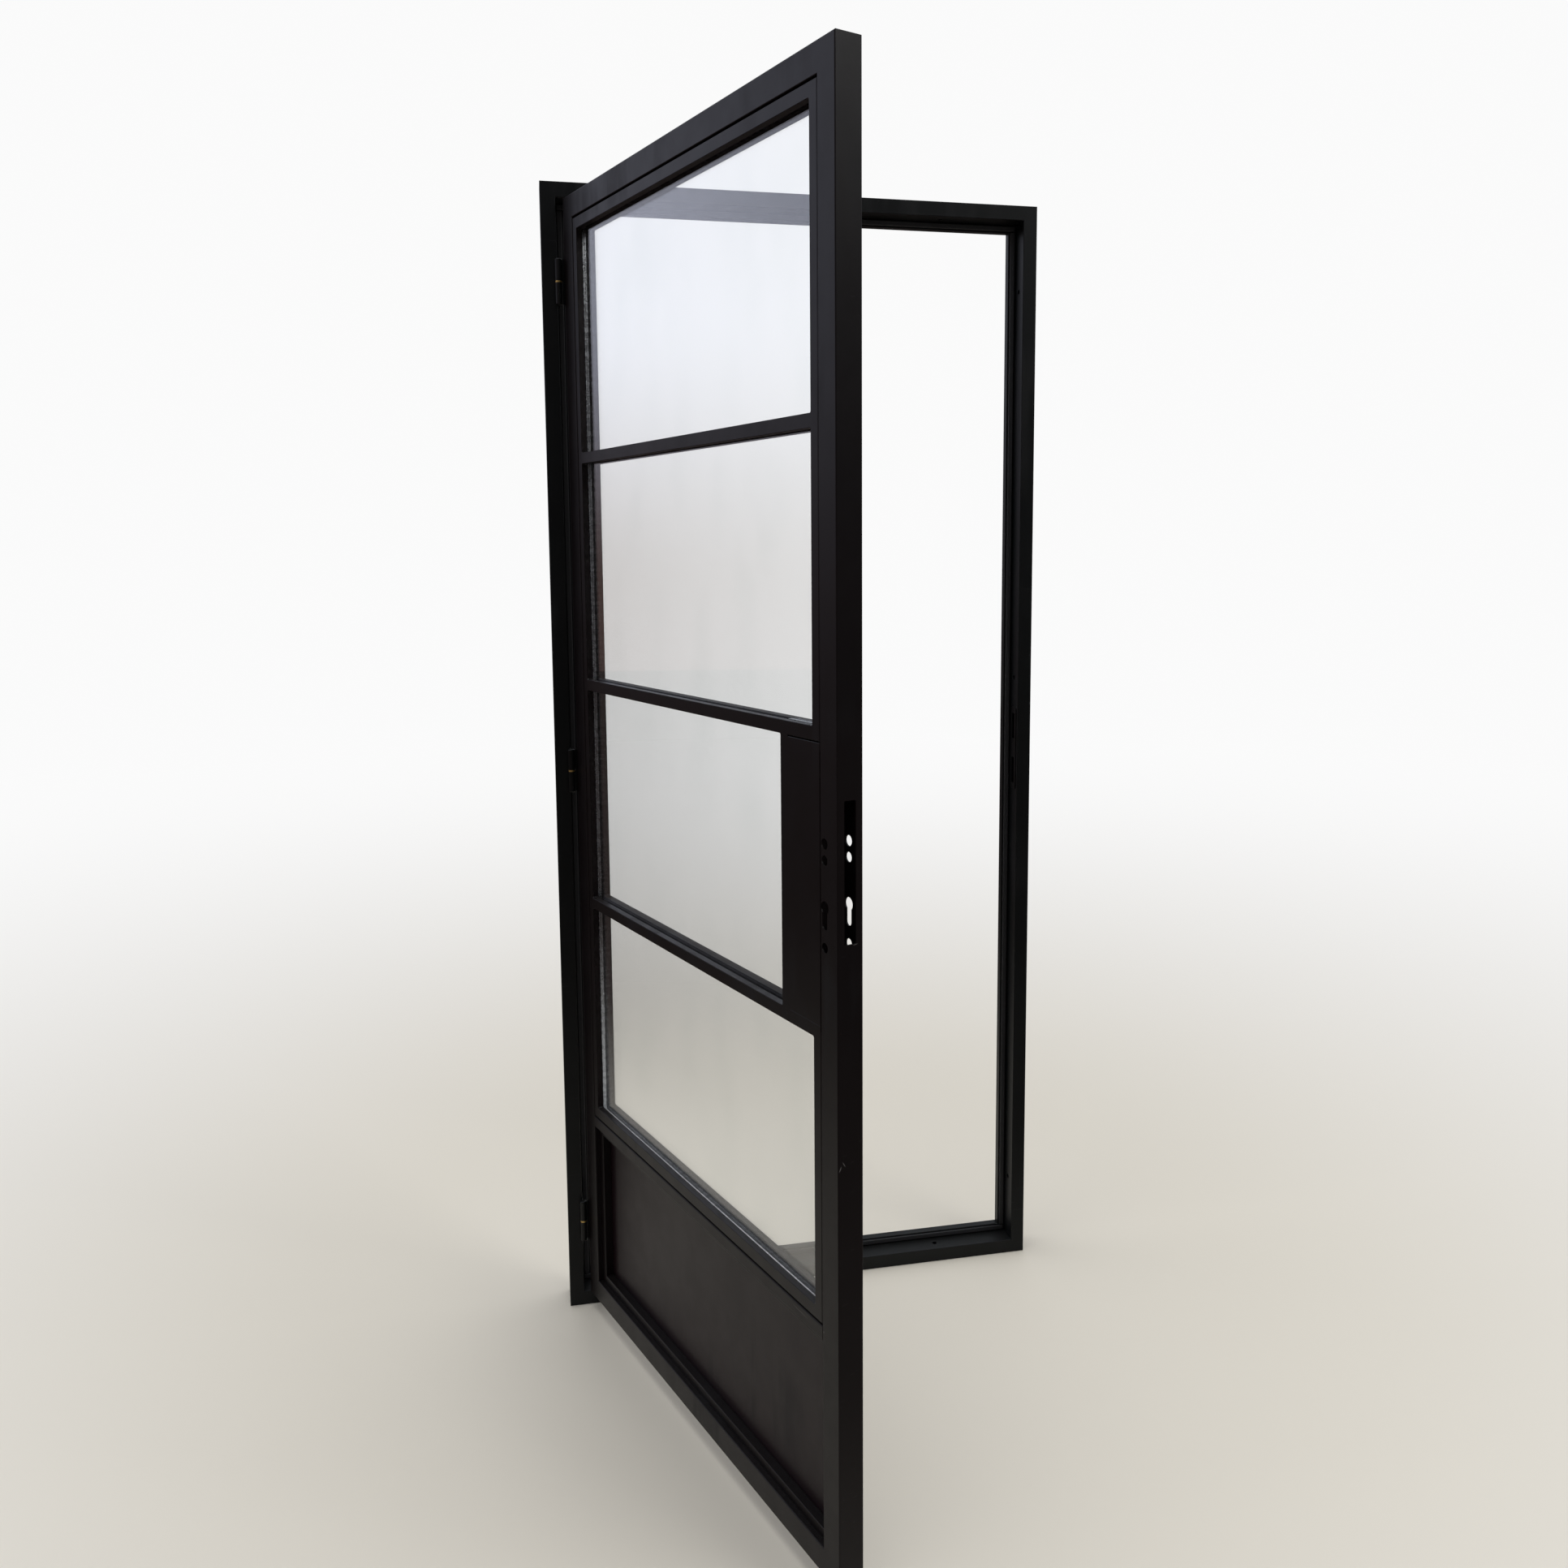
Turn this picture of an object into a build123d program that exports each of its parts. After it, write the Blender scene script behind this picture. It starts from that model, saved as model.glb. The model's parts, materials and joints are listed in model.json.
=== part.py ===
from build123d import *
import os

# Steel glass door in its welded frame, leaf standing open.
# Origin: centre of the sill's underside. X runs from the hinge jamb to the lock jamb,
# Y from the pull side to the push side, Z up. Lengths in mm, angles in degrees.

# Frame: outside size and rebated hollow section
frame_width = 928.0
frame_height = 2100.0
frame_depth = 60.0
frame_face = 27.0
rebate_depth = 44.0
stop_width = 14.0
frame_wall = 2.0
frame_arris = 1.2

# Seal strips on the stops
seal_width = 9.0
seal_thickness = 3.5
seal_round = 1.4
seal_margin = 2.0
seal_end_gap = 2.5

# Wall fixings through the frame
fixing_radius = 4.5
fixing_end = 155.0
fixing_middle_level = 1199.0
fixing_hinge_offset = 140.0
fixing_side_inset = 186.0

# Leaf of square tube with a flat mid rail
opening_angle = 69.5
leaf_gap = 4.0
tube_size = 40.0
tube_wall = 2.0
tube_arris = 1.6
mid_rail_height = 20.0
mid_rail_level = 400.0

# Glazing frames with bars
lite_count = 4
glazing_gap = 3.5
lock_gap = 1.0
side_member = 15.0
lock_member = 17.5
end_member = 19.0
bar_width = 19.0
lite_round = 2.5
glazing_arris = 0.6
glass_setback = 11.5

# Sealed glass unit
pane_thickness = 4.0
pane_cavity = 6.0
unit_clearance = 4.0
sealant_width = 5.0
spacer_width = 6.5
tape_thickness = 1.0
tape_setback = 3.0
block_length = 80.0

# Lock box beside one lite
lock_lite = 1
cover_width = 79.0
cover_slit = 2.0
cover_wall = 2.0
tack_level = 1012.0
tack_height = 8.0

# Lock preparation in the stile
backset = 30.0
mortise_level = 1037.0
mortise_height = 190.0
mortise_width = 18.0
mortise_round = 2.0
spindle_level = 1072.0
spindle_radius = 7.5
fixing_drop = 22.0
lock_fixing_radius = 7.0
cylinder_drop = 85.0
cylinder_radius = 9.0
cylinder_slot = 12.0
cylinder_tail = 30.0
lower_fixing_drop = 139.0

# Strike plate in the lock jamb
strike_level = 1057.5
strike_height = 165.0
strike_width = 26.0
strike_thickness = 1.5
strike_round = 6.0
strike_slot_width = 12.0
strike_slot_end = 12.5
strike_bridge = 37.0
strike_slot_round = 2.0
strike_pocket_margin = 1.0

# Kick panel between two rings of beads
bead_width = 15.0
bead_depth = 15.0
bead_setback = 10.0
bead_wall = 1.5
bead_arris = 0.8
panel_thickness = 2.0
panel_clearance = 1.0

# Lift-off hinges
hinge_bottom_inset = 177.0
hinge_top_inset = 174.0
hinge_height = 80.0
barrel_radius = 6.0
barrel_offset = 10.0
barrel_round = 2.4
plate_thickness = 1.8
plate_reach = 25.0
plate_round = 4.0
plate_clearance = 1.0
pin_radius = 3.5
pin_clearance = 0.05
pin_end_gap = 0.5
knuckle_end = 5.0
washer_thickness = 3.0
washer_bore_clearance = 0.2
washer_play = 0.3

# Frame and leaf positions
half_width = frame_width / 2
front_y = -frame_depth / 2
stop_y = front_y + rebate_depth
leaf_left = frame_face + leaf_gap - half_width
leaf_right = half_width - frame_face - leaf_gap
leaf_bottom = frame_face + leaf_gap
leaf_top = frame_height - frame_face - leaf_gap
leaf_back_y = front_y + tube_size
leaf_mid_y = front_y + tube_size / 2
axis_x = leaf_left - leaf_gap / 2
axis_y = front_y - barrel_offset
hinge_top_level = frame_height - hinge_top_inset
hinge_middle_level = (hinge_bottom_inset + hinge_top_level) / 2
hinge_levels = {"bottom": hinge_bottom_inset, "middle": hinge_middle_level, "top": hinge_top_level}

# Strike slots between the plate's ends and its bridge
strike_slot_height = (strike_height - strike_bridge) / 2 - strike_slot_end
strike_slot_pitch = strike_slot_height + strike_bridge

# Glazing positions, lites counted from the bottom
open_left = leaf_left + tube_size
open_right = leaf_right - tube_size
open_top = leaf_top - tube_size
glazing_bottom = mid_rail_level + glazing_gap
glazing_top = open_top - glazing_gap
lites_height = glazing_top - glazing_bottom - 2 * end_member - (lite_count - 1) * bar_width
lite_height = lites_height / lite_count
lite_left = open_left + glazing_gap + side_member
lite_right = open_right - lock_gap - lock_member
post_right = open_right - lock_gap - cover_width
post_left = post_right - bar_width
unit_edge = sealant_width + spacer_width
unit_front_y = front_y + glass_setback
unit_thickness = 2 * pane_thickness + pane_cavity
push_front_y = unit_front_y + unit_thickness + tape_thickness


def place_ring(left, right, bottom, top, y):
    """Places of four lengths around an opening, each with its outer face outwards."""
    mid_x = (left + right) / 2
    mid_z = (bottom + top) / 2
    return {
        "bottom": Pos(mid_x, y, bottom),
        "top": Pos(mid_x, y, top) * Rot(0, 180, 0),
        "hinge": Pos(left, y, mid_z) * Rot(0, 90, 0),
        "lock": Pos(right, y, mid_z) * Rot(0, -90, 0),
    }


def mitred_length(section, span, reach, depth):
    """A length along X of a section drawn as (depth, inward), both ends cut at 45 degrees."""
    straight = extrude(Plane.YZ * section, amount=span / 2, both=True)
    half = span / 2
    corners = [(-half, 0), (half, 0), (half - reach, reach), (reach - half, reach)]
    wedge = Plane.XZ * Polygon(*corners, align=None)
    return straight & extrude(wedge, amount=depth, both=True)


def box_between(x0, x1, y0, y1, z0, z1):
    """A block between two corners."""
    block = Box(x1 - x0, y1 - y0, z1 - z0)
    return Pos((x0 + x1) / 2, (y0 + y1) / 2, (z0 + z1) / 2) * block


def rect_between(x0, x1, z0, z1):
    """A flat rectangle between two corners, drawn as (x, z)."""
    return Pos((x0 + x1) / 2, (z0 + z1) / 2) * Rectangle(x1 - x0, z1 - z0)


def upright(sketch, y, depth):
    """Extrude a sketch drawn as (x, z) from the plane at y towards the push side."""
    plane = Plane((0, y, 0), x_dir=(1, 0, 0), z_dir=(0, -1, 0))
    return extrude(plane * sketch, amount=depth, dir=(0, 1, 0))


def frame_section():
    """Rebated hollow section, drawn as (depth, inward) with the pull face first."""
    inner = frame_face + stop_width
    outline = [
        (0, 0),
        (0, frame_face),
        (rebate_depth, frame_face),
        (rebate_depth, inner),
        (frame_depth, inner),
        (frame_depth, 0),
    ]
    hollow = [
        (frame_wall, frame_wall),
        (frame_wall, frame_face - frame_wall),
        (rebate_depth + frame_wall, frame_face - frame_wall),
        (rebate_depth + frame_wall, inner - frame_wall),
        (frame_depth - frame_wall, inner - frame_wall),
        (frame_depth - frame_wall, frame_wall),
    ]
    skin = Polygon(*outline, align=None)
    arrises = skin.vertices().group_by(Axis.X)[0] + skin.vertices().group_by(Axis.Y)[-1]
    skin = fillet(arrises, frame_arris)
    return Pos(front_y, 0) * (skin - Polygon(*hollow, align=None))


def frame_lengths():
    """Hinge jamb, lock jamb, head and sill with their fixing holes."""
    section = frame_section()
    reach = frame_face + stop_width
    places = place_ring(-half_width, half_width, 0, frame_height, 0)
    hole_y = front_y + rebate_depth / 2
    side_x = half_width - fixing_side_inset
    jamb_mid = frame_height / 2
    hinge_low = hinge_levels["bottom"] + fixing_hinge_offset
    hinge_high = hinge_levels["top"] - fixing_hinge_offset
    lock_marks = [fixing_end, fixing_middle_level, frame_height - fixing_end]
    hinge_marks = [hinge_low, fixing_middle_level, hinge_high]
    hole_places = {
        "bottom": [-side_x, side_x],
        "top": [-side_x, side_x],
        "hinge": [jamb_mid - level for level in hinge_marks],
        "lock": [level - jamb_mid for level in lock_marks],
    }
    lengths = {}
    for side, place in places.items():
        span = frame_height if side in ("hinge", "lock") else frame_width
        length = mitred_length(section, span, reach, frame_depth)
        for along in hole_places[side]:
            length -= Pos(along, hole_y, frame_face / 2) * Cylinder(fixing_radius, 2 * frame_face)
        lengths[side] = place * length
    lengths["lock"] -= strike_pockets()
    return lengths


def strike_slots(width, height, round_radius):
    """Two upright slots, drawn as (y, z)."""
    slots = Sketch()
    for share in (-0.5, 0.5):
        level = strike_level + share * strike_slot_pitch
        slots += Pos(leaf_mid_y, level) * RectangleRounded(width, height, round_radius)
    return slots


def strike_pockets():
    """Windows in the lock jamb's rebate wall behind the strike slots."""
    width = strike_slot_width + 2 * strike_pocket_margin
    height = strike_slot_height + 2 * strike_pocket_margin
    windows = strike_slots(width, height, strike_slot_round)
    inside = Plane((half_width - frame_face - frame_wall, 0, 0), x_dir=(0, 1, 0), z_dir=(1, 0, 0))
    return extrude(inside * windows, amount=3 * frame_wall)


def strike_plate():
    """Slotted plate with round corners on the rebate wall."""
    plate = Pos(leaf_mid_y, strike_level) * RectangleRounded(strike_width, strike_height, strike_round)
    plate -= strike_slots(strike_slot_width, strike_slot_height, strike_slot_round)
    wall = Plane((half_width - frame_face, 0, 0), x_dir=(0, 1, 0), z_dir=(1, 0, 0))
    return extrude(wall * plate, amount=-strike_thickness)


def seal_strips():
    """Flat rubber strips on the stops; sill and head run through, the jambs butt on them."""
    low = frame_face + seal_margin
    high = low + seal_width
    corner = Pos(stop_y - seal_thickness / 2, (low + high) / 2)
    section = corner * Rectangle(seal_thickness, seal_width)
    section = fillet(section.vertices().group_by(Axis.X)[0], seal_round)
    places = place_ring(-half_width, half_width, 0, frame_height, 0)
    cross = frame_width - 2 * frame_face - 2 * seal_end_gap
    up = frame_height - 2 * high - 2 * seal_end_gap
    strips = {}
    for side, place in places.items():
        span = up if side in ("hinge", "lock") else cross
        strips[side] = place * extrude(Plane.YZ * section, amount=span / 2, both=True)
    return strips


def leaf_tubes():
    """Two stiles, top rail and bottom rail, mitred; the lock stile is cut for a lock."""
    skin = RectangleRounded(tube_size, tube_size, tube_arris)
    bore = tube_size - 2 * tube_wall
    section = Pos(0, tube_size / 2) * (skin - Rectangle(bore, bore))
    places = place_ring(leaf_left, leaf_right, leaf_bottom, leaf_top, leaf_mid_y)
    tubes = {}
    for side, place in places.items():
        span = leaf_top - leaf_bottom if side in ("hinge", "lock") else leaf_right - leaf_left
        tubes[side] = place * mitred_length(section, span, tube_size, tube_size)
    tubes["lock"] -= lock_cuts()
    return tubes


def lock_cuts():
    """Mortise in the lock edge; keyhole and round holes in both faces of the lock stile."""
    slot = Pos(leaf_mid_y, mortise_level) * RectangleRounded(mortise_width, mortise_height, mortise_round)
    edge = Plane((leaf_right - 2 * tube_wall, 0, 0), x_dir=(0, 1, 0), z_dir=(1, 0, 0))
    cuts = [extrude(edge * slot, amount=3 * tube_wall)]
    hole_x = leaf_right - backset
    cylinder_level = spindle_level - cylinder_drop
    tail = cylinder_tail - cylinder_slot / 2
    holes = Pos(hole_x, spindle_level) * Circle(spindle_radius)
    holes += Pos(hole_x, spindle_level - fixing_drop) * Circle(lock_fixing_radius)
    holes += Pos(hole_x, cylinder_level) * Circle(cylinder_radius)
    holes += Pos(hole_x, cylinder_level - tail / 2) * Rectangle(cylinder_slot, tail)
    holes += Pos(hole_x, cylinder_level - tail) * Circle(cylinder_slot / 2)
    holes += Pos(hole_x, spindle_level - lower_fixing_drop) * Circle(lock_fixing_radius)
    for y in (front_y - tube_wall, leaf_back_y - tube_wall):
        cuts.append(upright(holes, y, 2 * tube_wall))
    return cuts


def mid_rail():
    """Flat tube between the stiles under the glazing."""
    skin = RectangleRounded(tube_size, mid_rail_height, tube_arris)
    bore = Rectangle(tube_size - 2 * tube_wall, mid_rail_height - 2 * tube_wall)
    span = open_right - open_left
    rail = extrude(Plane.YZ * (skin - bore), amount=span / 2, both=True)
    return Pos((open_left + open_right) / 2, leaf_mid_y, mid_rail_level - mid_rail_height / 2) * rail


def lite_bounds():
    """Left, right, bottom and top of each lite, counted from the bottom."""
    bounds = []
    for index in range(lite_count):
        bottom = glazing_bottom + end_member + index * (lite_height + bar_width)
        right = post_left if index == lock_lite else lite_right
        bounds.append((lite_left, right, bottom, bottom + lite_height))
    return bounds


def glazing_outline(gap, right):
    """Frame with bars as one flat piece, drawn as (x, z); gap is the slot to the other tubes."""
    flat = rect_between(open_left + gap, right, mid_rail_level + gap, open_top - gap)
    for left, lite_edge, bottom, top in lite_bounds():
        hole = RectangleRounded(lite_edge - left, top - bottom, lite_round)
        flat -= Pos((left + lite_edge) / 2, (bottom + top) / 2) * hole
    box_bottom, box_top = lite_bounds()[lock_lite][2:]
    return flat - rect_between(post_right, right, box_bottom, box_top)


def glazing_frames():
    """Loose frame with a shadow slot on the pull side, welded frame on the push side."""
    pull_depth = glass_setback - tape_thickness
    pull = upright(glazing_outline(glazing_gap, open_right - lock_gap), front_y, pull_depth)
    face_edges = pull.faces().sort_by(Axis.Y)[0].edges()
    arrises = [edge for edge in face_edges if abs(edge.center().X - post_right) > lite_round]
    pull = chamfer(arrises, glazing_arris)
    push = upright(glazing_outline(0, open_right), push_front_y, leaf_back_y - push_front_y)
    return pull, push


def lock_cover(right, depth):
    """Folded tray that closes the lock box, face at y = 0 and open behind."""
    bottom, top = lite_bounds()[lock_lite][2:]
    upper = top - cover_slit
    tray = box_between(post_right, right, 0, depth, bottom, upper)
    face_edges = tray.faces().sort_by(Axis.Y)[0].edges()
    tray = chamfer(face_edges.group_by(Axis.Z)[-1] + face_edges.group_by(Axis.X)[-1], glazing_arris)
    inside_x = (post_right + cover_wall, right - cover_wall)
    inside_z = (bottom + cover_wall, upper - cover_wall)
    return tray - box_between(*inside_x, cover_wall, depth, *inside_z)


def lock_covers():
    """Covers of the pull and push sides; the pull cover is tacked to the stile once."""
    right = open_right - lock_gap
    pull = Pos(0, front_y, 0) * lock_cover(right, glass_setback - tape_thickness)
    low = tack_level - tack_height / 2
    tack_y = (front_y + tube_arris, front_y + 2 * cover_wall)
    pull += box_between(right, open_right, *tack_y, low, low + tack_height)
    push = mirror(lock_cover(open_right, leaf_back_y - push_front_y), about=Plane.XZ)
    return pull, Pos(0, leaf_back_y, 0) * push


def unit_outline():
    """Outline of the sealed unit, notched round the lock box, drawn as (x, z)."""
    lites = lite_bounds()
    left = open_left + unit_clearance
    right = open_right - unit_clearance
    bottom = mid_rail_level + unit_clearance
    top = open_top - unit_clearance
    notch_left = post_left + unit_edge
    notch_bottom = lites[lock_lite - 1][3] + unit_edge
    notch_top = lites[lock_lite + 1][2] - unit_edge
    notch = rect_between(notch_left, right, notch_bottom, notch_top)
    return rect_between(left, right, bottom, top) - notch


def glass_unit():
    """Two panes, spacer frame and edge sealant."""
    whole = unit_outline()
    inside = offset(whole, amount=-sealant_width, kind=Kind.INTERSECTION)
    middle = offset(whole, amount=-unit_edge, kind=Kind.INTERSECTION)
    cavity_y = unit_front_y + pane_thickness
    return {
        "glass_pane_pull": upright(whole, unit_front_y, pane_thickness),
        "glass_pane_push": upright(whole, cavity_y + pane_cavity, pane_thickness),
        "glass_spacer": upright(inside - middle, cavity_y, pane_cavity),
        "edge_sealant": upright(whole - inside, cavity_y, pane_cavity),
    }


def glazing_tapes():
    """Tape between the unit and each glazing frame, held back from the lites."""
    flat = unit_outline()
    for left, right, bottom, top in lite_bounds():
        x_range = (left - tape_setback, right + tape_setback)
        flat -= rect_between(*x_range, bottom - tape_setback, top + tape_setback)
    pull = upright(flat, unit_front_y - tape_thickness, tape_thickness)
    push = upright(flat, unit_front_y + unit_thickness, tape_thickness)
    return pull, push


def setting_blocks():
    """Two blocks on the mid rail that carry the glass unit."""
    blocks = []
    for share in (0.25, 0.75):
        x = open_left + share * (open_right - open_left)
        half = block_length / 2
        top = mid_rail_level + unit_clearance
        y_range = (unit_front_y, unit_front_y + unit_thickness)
        blocks.append(box_between(x - half, x + half, *y_range, mid_rail_level, top))
    return Compound(children=blocks)


def kick_pieces():
    """Kick panel sheet and the mitred bead lengths on both sides of it."""
    bottom = leaf_bottom + tube_size
    top = mid_rail_level - mid_rail_height
    panel_y = front_y + bead_setback + bead_depth
    back_y = panel_y + panel_thickness
    gap = panel_clearance
    sheet = rect_between(open_left + gap, open_right - gap, bottom + gap, top - gap)
    pieces = {"kick_panel": upright(sheet, panel_y, panel_thickness)}
    rings = {"pull": (panel_y - bead_depth, bead_depth), "push": (back_y, leaf_back_y - back_y)}
    for name, (y, depth) in rings.items():
        skin = RectangleRounded(depth, bead_width, bead_arris)
        bore = Rectangle(depth - 2 * bead_wall, bead_width - 2 * bead_wall)
        section = Pos(0, bead_width / 2) * (skin - bore)
        places = place_ring(open_left, open_right, bottom, top, y + depth / 2)
        for side, place in places.items():
            span = top - bottom if side in ("hinge", "lock") else open_right - open_left
            length = mitred_length(section, span, bead_width, depth)
            pieces[f"kick_bead_{name}_{side}"] = place * length
    return pieces


def hinge_plate(x, level, low, high):
    """Plate in the gap with its thin side at x; it meets the axis only from low to high."""
    clear_y = axis_y + barrel_radius + plate_clearance
    back_y = front_y + plate_reach
    long_part = RectangleRounded(back_y - clear_y, hinge_height, plate_round)
    long_part = Pos((clear_y + back_y) / 2, level) * long_part
    joined_y = clear_y + plate_round
    arm = Pos((axis_y + joined_y) / 2, (low + high) / 2) * Rectangle(joined_y - axis_y, high - low)
    plane = Plane((x, 0, 0), x_dir=(0, 1, 0), z_dir=(1, 0, 0))
    return extrude(plane * (long_part + arm), amount=plate_thickness)


def hinge_pieces(level):
    """Frame knuckle, leaf knuckle, pin and washer of one hinge."""
    low = level - hinge_height / 2
    high = level + hinge_height / 2
    washer_low = level - washer_thickness / 2
    washer_high = level + washer_thickness / 2
    leaf_low = washer_high + washer_play
    bore_radius = pin_radius + pin_clearance
    centre = Pos(axis_x, axis_y, 0)
    base = (Align.CENTER, Align.CENTER, Align.MIN)

    frame_x = frame_face - half_width
    frame_barrel = Cylinder(barrel_radius, washer_low - low, align=base)
    frame_barrel = fillet(frame_barrel.edges().group_by(Axis.Z)[0], barrel_round)
    frame_knuckle = centre * Pos(0, 0, low) * frame_barrel
    frame_knuckle += hinge_plate(frame_x, level, low + barrel_round, washer_low)
    pin_low = low + knuckle_end
    frame_knuckle -= centre * Pos(0, 0, pin_low) * Cylinder(bore_radius, hinge_height, align=base)

    leaf_x = leaf_left - plate_thickness
    leaf_barrel = Cylinder(barrel_radius, high - leaf_low, align=base)
    leaf_barrel = fillet(leaf_barrel.edges().group_by(Axis.Z)[-1], barrel_round)
    leaf_knuckle = centre * Pos(0, 0, leaf_low) * leaf_barrel
    leaf_knuckle += hinge_plate(leaf_x, level, leaf_low, high - barrel_round)
    bore_depth = high - knuckle_end - leaf_low
    leaf_knuckle -= centre * Pos(0, 0, leaf_low) * Cylinder(bore_radius, bore_depth, align=base)

    pin_length = high - knuckle_end - pin_end_gap - pin_low
    pin = centre * Pos(0, 0, pin_low) * Cylinder(pin_radius, pin_length, align=base)
    washer = Cylinder(barrel_radius, washer_thickness, align=base)
    washer -= Cylinder(pin_radius + washer_bore_clearance, washer_thickness, align=base)
    return frame_knuckle, leaf_knuckle, pin, centre * Pos(0, 0, washer_low) * washer


def frame_nodes(hinges):
    """Everything fixed to the wall, by name."""
    lengths = frame_lengths()
    strips = seal_strips()
    nodes = {
        "hinge_jamb": lengths["hinge"],
        "lock_jamb": lengths["lock"],
        "head": lengths["top"],
        "sill": lengths["bottom"],
        "hinge_seal": strips["hinge"],
        "lock_seal": strips["lock"],
        "head_seal": strips["top"],
        "sill_seal": strips["bottom"],
        "strike_plate": strike_plate(),
    }
    for name, (frame_knuckle, leaf_knuckle, pin, washer) in hinges.items():
        nodes[f"{name}_hinge_frame_knuckle"] = frame_knuckle
        nodes[f"{name}_hinge_pin"] = pin
        nodes[f"{name}_hinge_washer"] = washer
    return nodes


def leaf_nodes(hinges):
    """Everything that swings, by name, with the leaf closed."""
    tubes = leaf_tubes()
    frame_pull, frame_push = glazing_frames()
    cover_pull, cover_push = lock_covers()
    tape_pull, tape_push = glazing_tapes()
    nodes = {
        "hinge_stile": tubes["hinge"],
        "lock_stile": tubes["lock"],
        "top_rail": tubes["top"],
        "bottom_rail": tubes["bottom"],
        "mid_rail": mid_rail(),
        "glazing_frame_pull": frame_pull,
        "glazing_frame_push": frame_push,
        "lock_cover_pull": cover_pull,
        "lock_cover_push": cover_push,
        "glazing_tape_pull": tape_pull,
        "glazing_tape_push": tape_push,
        "setting_blocks": setting_blocks(),
    }
    nodes.update(glass_unit())
    nodes.update(kick_pieces())
    for name, (frame_knuckle, leaf_knuckle, pin, washer) in hinges.items():
        nodes[f"{name}_hinge_leaf_knuckle"] = leaf_knuckle
    return nodes


os.makedirs("parts", exist_ok=True)
hinge_sets = {name: hinge_pieces(level) for name, level in hinge_levels.items()}
swing = Pos(axis_x, axis_y, 0) * Rot(0, 0, -opening_angle) * Pos(-axis_x, -axis_y, 0)
for name, shape in frame_nodes(hinge_sets).items():
    export_step(shape, f"parts/{name}.step")
for name, shape in leaf_nodes(hinge_sets).items():
    export_step(swing * shape, f"parts/{name}.step")
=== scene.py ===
# %% [markdown]
# # A black steel glass door, standing open in its frame
# The solids of this door come from a CAD model. This lesson dresses them: it gives every
# piece a finish, adds the small things that CAD leaves out, and sets up a plain studio
# with the camera where the photograph was taken. Everything is in metres, Z up.

import json
import math

import bpy
from mathutils import Matrix, Vector


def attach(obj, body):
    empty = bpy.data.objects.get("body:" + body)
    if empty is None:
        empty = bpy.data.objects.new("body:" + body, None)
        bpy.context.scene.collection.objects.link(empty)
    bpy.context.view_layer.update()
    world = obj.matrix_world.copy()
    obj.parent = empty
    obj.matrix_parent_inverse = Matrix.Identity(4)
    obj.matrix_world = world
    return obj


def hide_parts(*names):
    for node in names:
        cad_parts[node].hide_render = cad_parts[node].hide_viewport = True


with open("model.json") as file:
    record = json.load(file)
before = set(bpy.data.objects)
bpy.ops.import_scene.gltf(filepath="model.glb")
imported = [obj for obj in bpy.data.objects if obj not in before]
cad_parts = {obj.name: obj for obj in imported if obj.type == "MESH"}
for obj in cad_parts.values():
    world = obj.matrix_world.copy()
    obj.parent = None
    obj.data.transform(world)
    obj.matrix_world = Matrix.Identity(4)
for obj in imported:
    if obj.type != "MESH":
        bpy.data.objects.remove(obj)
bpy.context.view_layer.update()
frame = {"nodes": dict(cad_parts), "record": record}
nodes = frame["nodes"]
print("pieces loaded:", len(nodes))

# %% [markdown]
# ## Where things are on the leaf
# The leaf is stored swung open by 69.5 degrees about its hinge axis, so its faces are not
# square to the axes of the scene. It is far easier to say "300 mm from the hinge edge, 5 mm
# behind the pull face, 1 m up". One matrix turns such a place into scene coordinates. Its
# inverse is used later inside the materials, as the numbers of a Mapping node.

# %% Leaf coordinates
HINGE_AXIS = Vector((-0.435, -0.040, 0))
LEAF_CORNER = Vector((-0.433, -0.030, 0))
LEAF_WIDTH, LOCK_HEIGHT = 0.866, 1.05
OPEN_ANGLE = math.radians(69.5)
leaf_to_scene = (Matrix.Translation(HINGE_AXIS) @ Matrix.Rotation(-OPEN_ANGLE, 4, "Z")
                 @ Matrix.Translation(LEAF_CORNER - HINGE_AXIS))
scene_to_leaf = leaf_to_scene.inverted()
lock_edge = leaf_to_scene @ Vector((LEAF_WIDTH, 0, LOCK_HEIGHT))
print("leaf's free edge at the lock:", [round(v, 3) for v in lock_edge])

# %% [markdown]
# ## Camera
# The camera's place and turn were worked out from the door's own edges in the photograph:
# a standing eye height, a little to the left of the door, turned 12 degrees to the right
# and tipped 6 degrees down. A lens is written as a focal length on a 36 mm sensor. The two
# shifts move the picture on the sensor without turning the camera, as the photo was cropped.

# %% Place the camera
FRAME_PIXELS, FOCAL_PIXELS = 1932, 1582.35
CENTRE_PIXEL = (997.65, 859.62)
SENSOR_WIDTH = 36.0
CAMERA_PLACE = (-0.48643, -2.41746, 1.44775)
PAN, TILT, ROLL = math.radians(11.884), math.radians(6.432), math.radians(0.3206)

forward = Vector((math.sin(PAN) * math.cos(TILT), math.cos(PAN) * math.cos(TILT), -math.sin(TILT)))
level_right = Vector((math.cos(PAN), -math.sin(PAN), 0))
level_down = forward.cross(level_right)
right = math.cos(ROLL) * level_right + math.sin(ROLL) * level_down
down = math.cos(ROLL) * level_down - math.sin(ROLL) * level_right

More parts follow.
